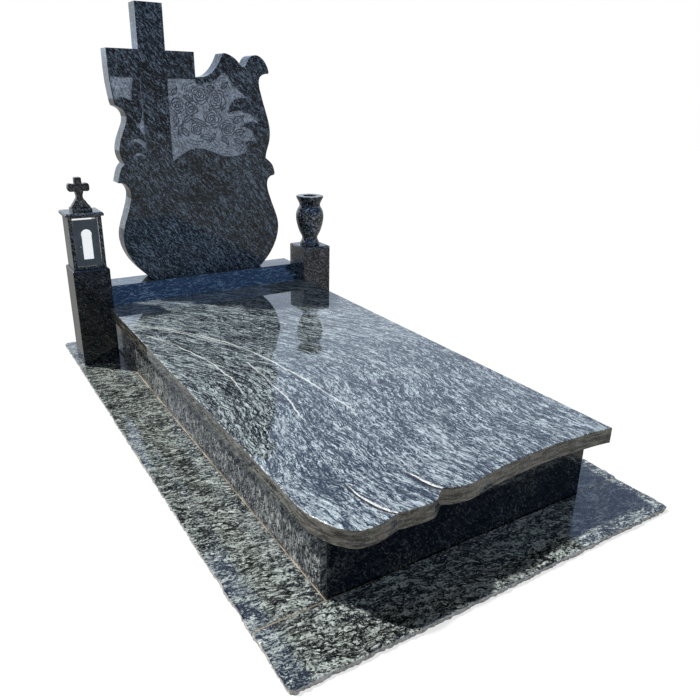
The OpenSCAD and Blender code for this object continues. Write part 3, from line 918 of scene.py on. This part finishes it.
def smooth_path(points: Sequence[Vector], steps: int) -> list[Vector]:
    """Draws a smooth curve through points.

    Args:
        points: the points to pass through.
        steps: the steps between each two.

    Returns:
        The curve's points.
    """
    made = []
    last = len(points) - 1
    for i in range(last):
        a, b, c, d = (points[min(max(k, 0), last)] for k in (i - 1, i, i + 1, i + 2))
        for k in range(steps):
            t = k / steps
            made.append(0.5 * (2 * b + (c - a) * t + (2 * a - 5 * b + 4 * c - d) * t * t
                               + (3 * b - a - 3 * c + d) * t ** 3))
    made.append(points[-1].copy())
    return made


OUTSIDE = 1.6  # half widths of a cut line past a carved shape's edge at which the shape ends


def line(gap: float, half: float) -> float:
    """Returns how deep in a cut line a point lies, from its distance and the line's half width."""
    share = min(1.0, max(0.0, 1.5 - abs(gap) / half))
    return share * share * (3.0 - 2.0 * share)


@dataclass(frozen=True)
class Rose:
    """A carved blossom: centre, radius, turn, and its rounds of petals by share of the radius and count."""

    x: float
    z: float
    radius: float
    turn: float
    rounds: tuple[tuple[float, int], ...] = ((0.20, 1), (0.42, 3), (0.70, 4), (1.0, 5))

    def cut(self, x: float, z: float, half: float) -> Optional[float]:
        """Finds a point in the blossom's cut lines.

        Args:
            x: the point's place across.
            z: the point's height.
            half: a line's half width.

        Returns:
            Its depth in a line, 0 to 1, or None outside the blossom.
        """
        dx, dz = x - self.x, z - self.z
        away = math.hypot(dx, dz)
        if away > self.radius * 1.2 + half * 2:
            return None
        angle = math.atan2(dz, dx) + self.turn
        deepest, gap = 0.0, 0.0
        for k, (share, petals) in enumerate(self.rounds):
            bulge = abs(math.sin(0.5 * petals * (angle + 1.3 * k)))
            reach = 0.84 + 0.26 * bulge ** 0.7 + 0.06 * math.sin(angle * 2.0 + k)
            gap = away - self.radius * share * reach
            deepest = max(deepest, line(gap, half))
        return None if gap > half * OUTSIDE else deepest


SMALL_ROSE = ((0.28, 2), (0.62, 3), (1.0, 4))


@dataclass(frozen=True)
class Leaf:
    """A carved leaf: foot, length, width and turn."""

    x: float
    z: float
    length: float
    width: float
    turn: float

    def cut(self, x: float, z: float, half: float) -> Optional[float]:
        """Finds a point in the leaf's cut lines.

        Args:
            x: the point's place across.
            z: the point's height.
            half: a line's half width.

        Returns:
            Its depth in a line, 0 to 1, or None outside the leaf.
        """
        dx, dz = x - self.x, z - self.z
        along = (dx * math.cos(self.turn) + dz * math.sin(self.turn)) / self.length
        if not -0.04 < along < 1.04:
            return None
        inside = min(1.0, max(0.0, along))
        side = -dx * math.sin(self.turn) + dz * math.cos(self.turn)
        edge = abs(side) - self.width * 0.5 * math.sin(math.pi * inside ** 0.8) ** 0.8
        if edge > half * OUTSIDE:
            return None
        veins = ((along * 4.5 - abs(side) / self.width * 1.4) % 1.0 - 0.5) * self.length / 4.5
        return max(line(edge, half), line(side, half * 0.8), 0.6 * line(veins, half * 0.6))


@dataclass
class Headstone:
    """The shaped headstone, its sunk fields and the rose carving."""

    node: str = "headstone"
    arris: float = 0.0022
    sunk: float = 0.006
    relief: float = 0.0024
    pitch: float = 0.0014
    line_half: float = 0.0019
    sway: float = 0.005
    ripple: float = 0.013
    bedding: float = 0.0004
    rim: float = 0.0002
    roses: tuple[Rose, ...] = (
        Rose(0.015, 0.806, 0.036, 0.4), Rose(0.092, 0.785, 0.038, 2.1),
        Rose(-0.093, 0.757, 0.027, 1.2, SMALL_ROSE), Rose(0.068, 0.703, 0.036, 2.9),
        Rose(0.138, 0.662, 0.032, 0.2), Rose(-0.026, 0.748, 0.027, 1.9, SMALL_ROSE),
        Rose(-0.010, 0.662, 0.024, 4.0, SMALL_ROSE))
    leaves: tuple[Leaf, ...] = (
        Leaf(-0.030, 0.700, 0.082, 0.026, -0.35), Leaf(-0.070, 0.690, 0.058, 0.024, 0.55),
        Leaf(0.052, 0.742, 0.054, 0.022, 0.35), Leaf(-0.058, 0.800, 0.050, 0.022, -0.5),
        Leaf(0.010, 0.632, 0.058, 0.024, -0.25), Leaf(-0.045, 0.630, 0.052, 0.022, 2.4),
        Leaf(0.172, 0.640, 0.056, 0.024, 0.15), Leaf(0.170, 0.688, 0.062, 0.024, 0.5),
        Leaf(0.168, 0.612, 0.052, 0.020, -0.35), Leaf(0.110, 0.628, 0.050, 0.020, -0.9),
        Leaf(0.080, 0.640, 0.046, 0.020, -2.3), Leaf(0.110, 0.740, 0.044, 0.018, 0.9),
        Leaf(-0.100, 0.720, 0.046, 0.020, -1.6), Leaf(-0.108, 0.800, 0.040, 0.018, 1.0),
        Leaf(0.048, 0.838, 0.036, 0.016, -0.1), Leaf(0.120, 0.830, 0.040, 0.018, 0.8),
        Leaf(-0.092, 0.640, 0.050, 0.020, 1.2), Leaf(0.220, 0.735, 0.034, 0.014, 0.3))

    def carving(self, x: float, z: float) -> tuple[float, float]:
        """Finds the height of the carving at a point.

        Args:
            x: the point's place across, from the middle.
            z: its height over the headstone's foot.

        Returns:
            Its height over the sunk field, in metres, and its depth in a cut line, 0 to 1.
        """
        drift = noise.noise_vector(Vector((x, z, 7.0)) * 26.0) * self.sway
        for shapes, lift in ((self.roses, 1.0), (self.leaves, 0.8)):
            for shape in shapes:
                cut = shape.cut(x + drift.x, z + drift.y, self.line_half)
                if cut is not None:
                    return (lift - 0.85 * cut) * self.relief, cut
        bend = 0.012 * noise.noise(Vector((x, z, 0.0)) * 18.0)
        near = min(math.hypot(x - r.x, z - r.z) - r.radius for r in self.roses) + bend
        ripple = 0.75 * line(((near / self.ripple) % 1.0 - 0.5) * self.ripple, self.line_half)
        ripple *= min(1.0, max(0.0, 0.5 + 3.0 * noise.noise(Vector((x, z, 3.0)) * 34.0)))
        return (0.35 - 0.30 * ripple) * self.relief, ripple

    def build(self) -> None:
        """Makes the stone and its carved field."""
        shape = solid_copy(self.node)
        low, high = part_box(self.node)
        floor = low.y + self.sunk
        floors = [f for f in shape.faces
                  if f.normal.y < -0.99 and abs(f.calc_center_median().y - floor) < 0.2 * MM]
        for face in {wall for f in floors for e in f.edges for wall in e.link_faces}:
            face.material_index = 1
        outline = self.largest_outline(floors)
        edges = [e for e in sharp_edges(shape) if max(v.co.y for v in e.verts) < low.y + 0.1 * MM
                 or min(v.co.y for v in e.verts) > high.y - 0.1 * MM]
        ease(shape, self.arris, edges=edges, material=2)
        finish_piece(shape, "headstone_stone", [HEAD_STONE, SUNK_STONE, HEAD_STONE.eased()],
                     replaced=[self.node])
        self.carve_field(outline, floor, low)

    @staticmethod
    def largest_outline(floors: list[bmesh.types.BMFace]) -> list[Vector]:
        """Finds the outline of the largest sunk field.

        Args:
            floors: the sunk fields' floors.

        Returns:
            The points of its edge, in order.
        """
        members = set(floors)
        rim = {}
        for face in floors:
            for loop in face.loops:
                if not (set(loop.edge.link_faces) - {face}) & members:
                    rim[loop.vert.index] = (loop.link_loop_next.vert.index, loop.vert.co.copy())
        best: list[Vector] = []
        while rim:
            start = next(iter(rim))
            ring, here = [], start
            while here in rim:
                ahead, co = rim.pop(here)
                ring.append(co)
                here = ahead
            if len(ring) > 2 and extent(ring) > extent(best):
                best = ring
        return best

    def carve_field(self, outline: list[Vector], floor: float, low: Vector) -> None:
        """Makes the thin carved field that lies on the sunk floor.

        Args:
            outline: the sunk field's edge.
            floor: the Y of its floor.
            low: the headstone's lowest corner, from which the carving is placed.
        """
        middle = self.middle_x()
        shape = bmesh.new()
        xs, zs = [p.x for p in outline], [p.z for p in outline]
        wide, tall = max(xs) - min(xs), max(zs) - min(zs)
        mid = Matrix.Translation(Vector(((max(xs) + min(xs)) / 2, floor, (max(zs) + min(zs)) / 2)))
        size = Matrix.Diagonal((wide, tall, 1.0, 1.0))
        bmesh.ops.create_grid(shape, x_segments=int(wide / self.pitch), y_segments=int(tall / self.pitch),
                              size=0.5, matrix=mid @ Matrix.Rotation(math.pi / 2, 4, "X") @ size)
        # each point's depth in a cut line, which sets how much painted shade the field's material puts there
        groove_shade = shape.verts.layers.float.new("groove_shade")
        ring = [(p.x, p.z) for p in outline]
        inside = {v: point_inside(v.co.x, v.co.z, ring) for v in shape.verts}
        for face in list(shape.faces):
            if not any(inside[v] for v in face.verts):
                shape.faces.remove(face)
        for vert in [v for v in shape.verts if not v.link_faces]:
            shape.verts.remove(vert)
        for vert in shape.verts:
            if not inside[vert]:
                x, z = nearest_on_ring(vert.co.x, vert.co.z, ring)
                vert.co.x, vert.co.z = x, z
                vert.co.y = floor - self.rim
            else:
                high, vert[groove_shade] = self.carving(vert.co.x - middle, vert.co.z - low.z)
                vert.co.y = floor - self.bedding - high
        bmesh.ops.dissolve_degenerate(shape, edges=shape.edges, dist=0.00005)
        rim = [e for e in shape.edges if e.is_boundary]
        sides = bmesh.ops.extrude_edge_only(shape, edges=rim)["geom"]
        for part in sides:
            if isinstance(part, bmesh.types.BMVert):
                part.co.y = floor + self.bedding
        bmesh.ops.holes_fill(shape, edges=[e for e in sides if isinstance(e, bmesh.types.BMEdge)], sides=0)
        bmesh.ops.recalc_face_normals(shape, faces=shape.faces)
        finish_piece(shape, "rose_carving", [SUNK_STONE], smooth=60.0)

    @staticmethod
    def middle_x() -> float:
        """Returns the middle of the kerb's width, from which the carving is set out."""
        low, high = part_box("kerb_front")
        return (low.x + high.x) / 2


def extent(ring: Sequence[Vector]) -> float:
    """Measures a ring of points.

    Args:
        ring: the points.

    Returns:
        The area of its box in X and Z.
    """
    if not ring:
        return 0.0
    xs, zs = [p.x for p in ring], [p.z for p in ring]
    return (max(xs) - min(xs)) * (max(zs) - min(zs))


def point_inside(x: float, z: float, ring: Sequence[Point]) -> bool:
    """Tells whether a point lies inside a closed ring.

    Args:
        x: the point's first coordinate.
        z: its second coordinate.
        ring: the ring's corners, in order.

    Returns:
        Whether the point is inside.
    """
    hit = False
    for (ax, az), (bx, bz) in zip(ring, [*ring[1:], ring[0]]):
        if (az > z) != (bz > z) and x < (bx - ax) * (z - az) / (bz - az) + ax:
            hit = not hit
    return hit


def nearest_on_ring(x: float, z: float, ring: Sequence[Point]) -> Point:
    """Finds the point of a ring's sides that lies nearest to a point.

    Args:
        x: the point's first coordinate.
        z: its second coordinate.
        ring: the ring's corners, in order.

    Returns:
        The nearest point.
    """
    best, at = 1e9, (x, z)
    here = Vector((x, z, 0.0))
    for (ax, az), (bx, bz) in zip(ring, [*ring[1:], ring[0]]):
        start, end = Vector((ax, az, 0.0)), Vector((bx, bz, 0.0))
        share = intersect_point_line(here, start, end)[1]
        spot = start.lerp(end, min(1.0, max(0.0, share)))
        gap = (spot - here).length
        if gap < best:
            best, at = gap, (spot.x, spot.y)
    return at


@dataclass
class Lantern:
    """The grave lantern: stone body, cap and cross, painted door with a glazed window and a turned knob."""

    body_arris: float = 0.0012
    cap_arris: float = 0.0016
    finial_arris: float = 0.0014
    door_arris: float = 0.0005
    knob: tuple[Point, ...] = (
        (0.0, 0.0), (0.62, 0.0), (0.60, 0.10), (0.42, 0.22), (0.46, 0.36), (0.82, 0.52), (1.0, 0.70),
        (0.90, 0.88), (0.55, 0.98), (0.0, 1.0))

    def build(self) -> None:
        """Makes the lantern's pieces and dresses its nodes."""
        DressedStone("lantern_body", LANTERN_STONE, self.body_arris).build()
        DressedStone("lantern_cap", LANTERN_STONE, self.cap_arris).build()
        DressedStone("lantern_finial", LANTERN_STONE, self.finial_arris).build()
        self.make_door()
        self.turn_knob()
        dress("lantern_hinge", DOOR_PAINT)
        dress("lantern_rear_pane", GLASS)
        dress("lantern_door_glass", GLASS)

    def make_door(self) -> None:
        """Makes the door from its node, with softened edges."""
        shape = solid_copy("lantern_door")
        ease(shape, self.door_arris, edges=sharp_edges(shape, 50.0))
        finish_piece(shape, "lantern_door_leaf", [DOOR_PAINT], DOOR_BODY, ["lantern_door"])

    def turn_knob(self) -> None:
        """Turns the door's small knob."""
        low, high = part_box("lantern_door_knob")
        middle = (low + high) / 2
        radius, depth = (high.x - low.x) / 2, high.y - low.y
        shape = bmesh.new()
        spin_profile(shape, [(r * radius, h * depth) for r, h in self.knob], 32)
        turn = Matrix.Translation(Vector((middle.x, high.y, middle.z))) @ Matrix.Rotation(math.pi / 2, 4, "X")
        bmesh.ops.transform(shape, matrix=turn, verts=shape.verts)
        finish_piece(shape, "lantern_knob", [PALE_METAL], DOOR_BODY, ["lantern_door_knob"],
                     smooth=50.0)


def dress(node: str, finish: Finish) -> None:
    """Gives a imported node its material, as it stands.

    Args:
        node: the node's name.
        finish: its finish.
    """
    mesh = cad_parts[node].data
    mesh.materials.clear()
    mesh.materials.append(finish.material())


def spin_profile(shape: Shape, profile: Sequence[Point], steps: int) -> None:
    """Turns a profile of (radius, height) points once round the Z axis into a closed shell.

    Args:
        shape: the empty shape to make it in.
        profile: points of radius and height, from foot to mouth.
        steps: the steps round.
    """
    verts = [shape.verts.new((r, 0.0, h)) for r, h in profile]
    edges = [shape.edges.new(pair) for pair in zip(verts, verts[1:])]
    bmesh.ops.spin(shape, geom=verts + edges, cent=(0, 0, 0), axis=(0, 0, 1), dvec=(0, 0, 0),
                   angle=2 * math.pi, steps=steps, use_merge=True, use_duplicate=False)
    bmesh.ops.remove_doubles(shape, verts=shape.verts, dist=0.01 * MM)
    bmesh.ops.recalc_face_normals(shape, faces=shape.faces)


@dataclass
class Vase:
    """The turned granite flower vase."""

    node: str = "vase"
    well_radius: float = 0.033
    well_depth: float = 0.175
    outer: tuple[Point, ...] = (
        (0.0500, 0.0080), (0.0455, 0.0180), (0.0410, 0.0270), (0.0384, 0.0360), (0.0404, 0.0440),
        (0.0452, 0.0530), (0.0512, 0.0650), (0.0568, 0.0790), (0.0616, 0.0940), (0.0656, 0.1100),
        (0.0684, 0.1250), (0.0695, 0.1400), (0.0690, 0.1540), (0.0664, 0.1680), (0.0614, 0.1810),
        (0.0552, 0.1910), (0.0520, 0.1995), (0.0526, 0.2070), (0.0562, 0.2160), (0.0608, 0.2250),
        (0.0654, 0.2340), (0.0676, 0.2390))
    foot: tuple[Point, ...] = (
        (0.0, 0.0), (0.0485, 0.0), (0.0500, 0.0012), (0.0504, 0.0040), (0.0503, 0.0065))
    lip: tuple[Point, ...] = ((0.0681, 0.2410), (0.0681, 0.2428), (0.0673, 0.2446), (0.0658, 0.2457))
    inner_lip: float = 0.0640
    mouth: tuple[Point, ...] = ((0.0040, 0.0), (0.0016, 0.0010), (0.0004, 0.0028), (0.0, 0.0050))

    def build(self) -> bpy.types.Object:
        """Returns the finished vase."""
        low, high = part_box(self.node)
        tall = high.z - low.z
        body = [(p.x, p.z) for p in smooth_path([Vector((r, 0.0, h)) for r, h in self.outer], 4)]
        well = [(self.well_radius + out, tall - down) for out, down in self.mouth]
        well += [(self.well_radius, tall - self.well_depth), (0.0, tall - self.well_depth)]
        shape = bmesh.new()
        spin_profile(shape, [*self.foot, *body, *self.lip, (self.inner_lip, tall), *well], 96)
        middle = Vector(((low.x + high.x) / 2, (low.y + high.y) / 2, low.z))
        bmesh.ops.translate(shape, vec=middle, verts=shape.verts)
        return finish_piece(shape, "turned_vase", [VASE_STONE], replaced=[self.node],
                            smooth=40.0)


WHITE = (1.0, 1.0, 1.0)


@dataclass
class Studio:
    """The camera, the light and the pale floor."""

    eye: Triple = (-1.10303, -2.06807, 1.16298)
    right: Triple = (0.84443806, -0.53525462, 0.02066055)
    down: Triple = (-0.17528087, -0.31256564, -0.93358413)
    lens: float = 34.283
    shift: tuple[float, float] = (-0.00084, -0.00495)
    sun_way: Triple = (0.110, -0.111, -0.2425)
    sun_colour: Triple = (1.0, 0.97, 0.92)
    sun_strength: float = 4.15
    sun_angle: float = 2.5
    fill: float = 0.36
    front_lift: float = 0.95
    overhead: float = 0.20
    fill_colour: Triple = (0.86, 0.92, 1.0)
    horizon: Triple = (0.84, 0.92, 1.0)
    zenith: Triple = (0.25, 0.40, 0.80)
    front_ground: Triple = (0.21, 0.19, 0.20)
    front_low: Triple = (0.09, 0.16, 0.33)
    front_high: Triple = (0.17, 0.36, 0.85)
    floor_size: float = 14.0
    floor_drop: float = 0.0005
    floor_grey: Triple = (0.25, 0.25, 0.25)
    floor_glow: float = 0.70
    floor_in_polish: float = 0.08

    def camera(self) -> None:
        """Sets the camera."""
        data = bpy.data.cameras.new("camera")
        data.lens, data.sensor_width = self.lens, 36.0
        data.shift_x, data.shift_y = self.shift
        data.clip_start, data.clip_end = 0.05, 60.0
        right, down = Vector(self.right), Vector(self.down)
        basis = Matrix((right, -down, right.cross(-down).normalized())).transposed()
        camera = put("camera", data)
        camera.matrix_world = Matrix.Translation(Vector(self.eye)) @ basis.to_4x4()
        bpy.context.scene.camera = camera

    def light(self) -> None:
        """Sets one broad key light high behind the left side."""
        data = bpy.data.lights.new("key", "SUN")
        data.energy, data.angle = self.sun_strength, math.radians(self.sun_angle)
        data.color = self.sun_colour
        put("key", data).rotation_euler = Vector(self.sun_way).to_track_quat("-Z", "Y").to_euler()

    def surround(self) -> None:
        """Sets the surround: white to the camera and through glass, a pale sky in polished stone."""
        world = bpy.data.worlds.new("surround")
        bpy.context.scene.world = world
        n = empty_tree(world)
        way = n.add("ShaderNodeTexCoord").outputs["Generated"]
        part = n.add("ShaderNodeSeparateXYZ", {0: way}).outputs
        ray = n.add("ShaderNodeLightPath").outputs
        climb = n.remap(part[2], 0.02, 0.75, 0.0, 1.0)
        front = n.remap(part[1], 0.30, -0.45, 0.0, 1.0)
        sky = n.mix(climb, rgba(self.horizon), rgba(self.zenith))
        ahead = n.mix(n.remap(part[2], -0.02, 0.16), rgba(self.front_ground), rgba(self.front_low))
        ahead = n.mix(n.remap(part[2], 0.30, 0.70), ahead, rgba(self.front_high))
        sky = n.mix(n.math("MULTIPLY", front, 0.95), sky, ahead)
        level = n.math("MULTIPLY", n.math("ADD", n.math("MULTIPLY", front, self.front_lift), 1.0), self.fill)
        level = n.math("MULTIPLY", level, n.remap(part[2], 0.35, 0.85, 1.0, self.overhead))
        plain = n.add("ShaderNodeBackground", {"Color": rgba(self.fill_colour), "Strength": level})
        glossy = n.add("ShaderNodeBackground", {"Color": sky, "Strength": 1.0})
        white = n.add("ShaderNodeBackground", {"Color": rgba(WHITE), "Strength": 1.0})
        first = n.add("ShaderNodeMixShader",
                      {0: ray["Is Glossy Ray"], 1: plain.outputs[0], 2: glossy.outputs[0]})
        seen = n.math("MAXIMUM", ray["Is Camera Ray"], ray["Is Transmission Ray"])
        last = n.add("ShaderNodeMixShader", {0: seen, 1: first.outputs[0], 2: white.outputs[0]})
        n.add("ShaderNodeOutputWorld", {0: last.outputs[0]})

    def floor(self) -> None:
        """Lays the pale floor, which keeps the monument's shadow."""
        shape = bmesh.new()
        bmesh.ops.create_grid(shape, x_segments=1, y_segments=1, size=self.floor_size)
        bmesh.ops.translate(shape, vec=(0.0, 0.0, -self.floor_drop), verts=shape.verts)
        pale = bpy.data.materials.new("pale_floor")
        n = empty_tree(pale)
        ray = n.add("ShaderNodeLightPath").outputs
        lit = n.add("ShaderNodeBsdfDiffuse", {"Color": rgba(self.floor_grey)})
        glow = n.add("ShaderNodeEmission", {"Color": rgba(WHITE), "Strength": self.floor_glow})
        both = n.add("ShaderNodeAddShader", {0: lit.outputs[0], 1: glow.outputs[0]})
        seen = n.math("MAXIMUM", n.math("MAXIMUM", ray["Is Camera Ray"], ray["Is Transmission Ray"]),
                      n.math("MULTIPLY", ray["Is Glossy Ray"], self.floor_in_polish))
        last = n.add("ShaderNodeMixShader", {0: seen, 1: lit.outputs[0], 2: both.outputs[0]})
        n.add("ShaderNodeOutputMaterial", {0: last.outputs[0]})
        mesh = mesh_of(shape, "floor")
        mesh.materials.append(pale)
        put("floor", mesh)

    def build(self) -> None:
        """Sets the whole studio."""
        self.camera()
        self.light()
        self.surround()
        self.floor()
        bpy.context.scene.view_settings.view_transform = "Standard"


def main() -> None:
    """Builds the monument piece by piece."""
    logging.basicConfig(level=logging.INFO, format="%(name)s: %(message)s")
    noise.seed_set(NOISE_SEED)
    Studio().build()
    PavingPlate("apron_left", ("left", "rear"), seed=1.3).build()
    PavingPlate("apron_right", ("right", "rear"), seed=7.9).build()
    PavingPlate("apron_front", ("left", "front", "right"), seed=4.1, trimmed="right").build()
    PavingPlate("apron_rear", ("rear",), seed=9.6).build()
    JointMortar().build()
    for node in ("kerb_left", "kerb_right", "kerb_rear"):
        DressedStone(node, KERB_STONE, arris=0.0010).build()
    # the kerb's front takes its darker copy of the kerb granite, with painted shade
    DressedStone("kerb_front", KERB_FRONT_PAINTED_SHADE_STONE, arris=0.0010).build()
    CoverSlab().build()
    DressedStone("headstone_base", BASE_STONE, arris=0.0020).build()
    Headstone().build()
    # the lantern pedestal takes the darker copy with painted shade, the vase pedestal the paler copy with
    # painted light
    DressedStone("lantern_pedestal", POST_PAINTED_SHADE_STONE).build()
    DressedStone("vase_pedestal", VASE_POST_PAINTED_LIGHT_STONE).build()
    Lantern().build()
    Vase().build()


if __name__ == "__main__":
    main()
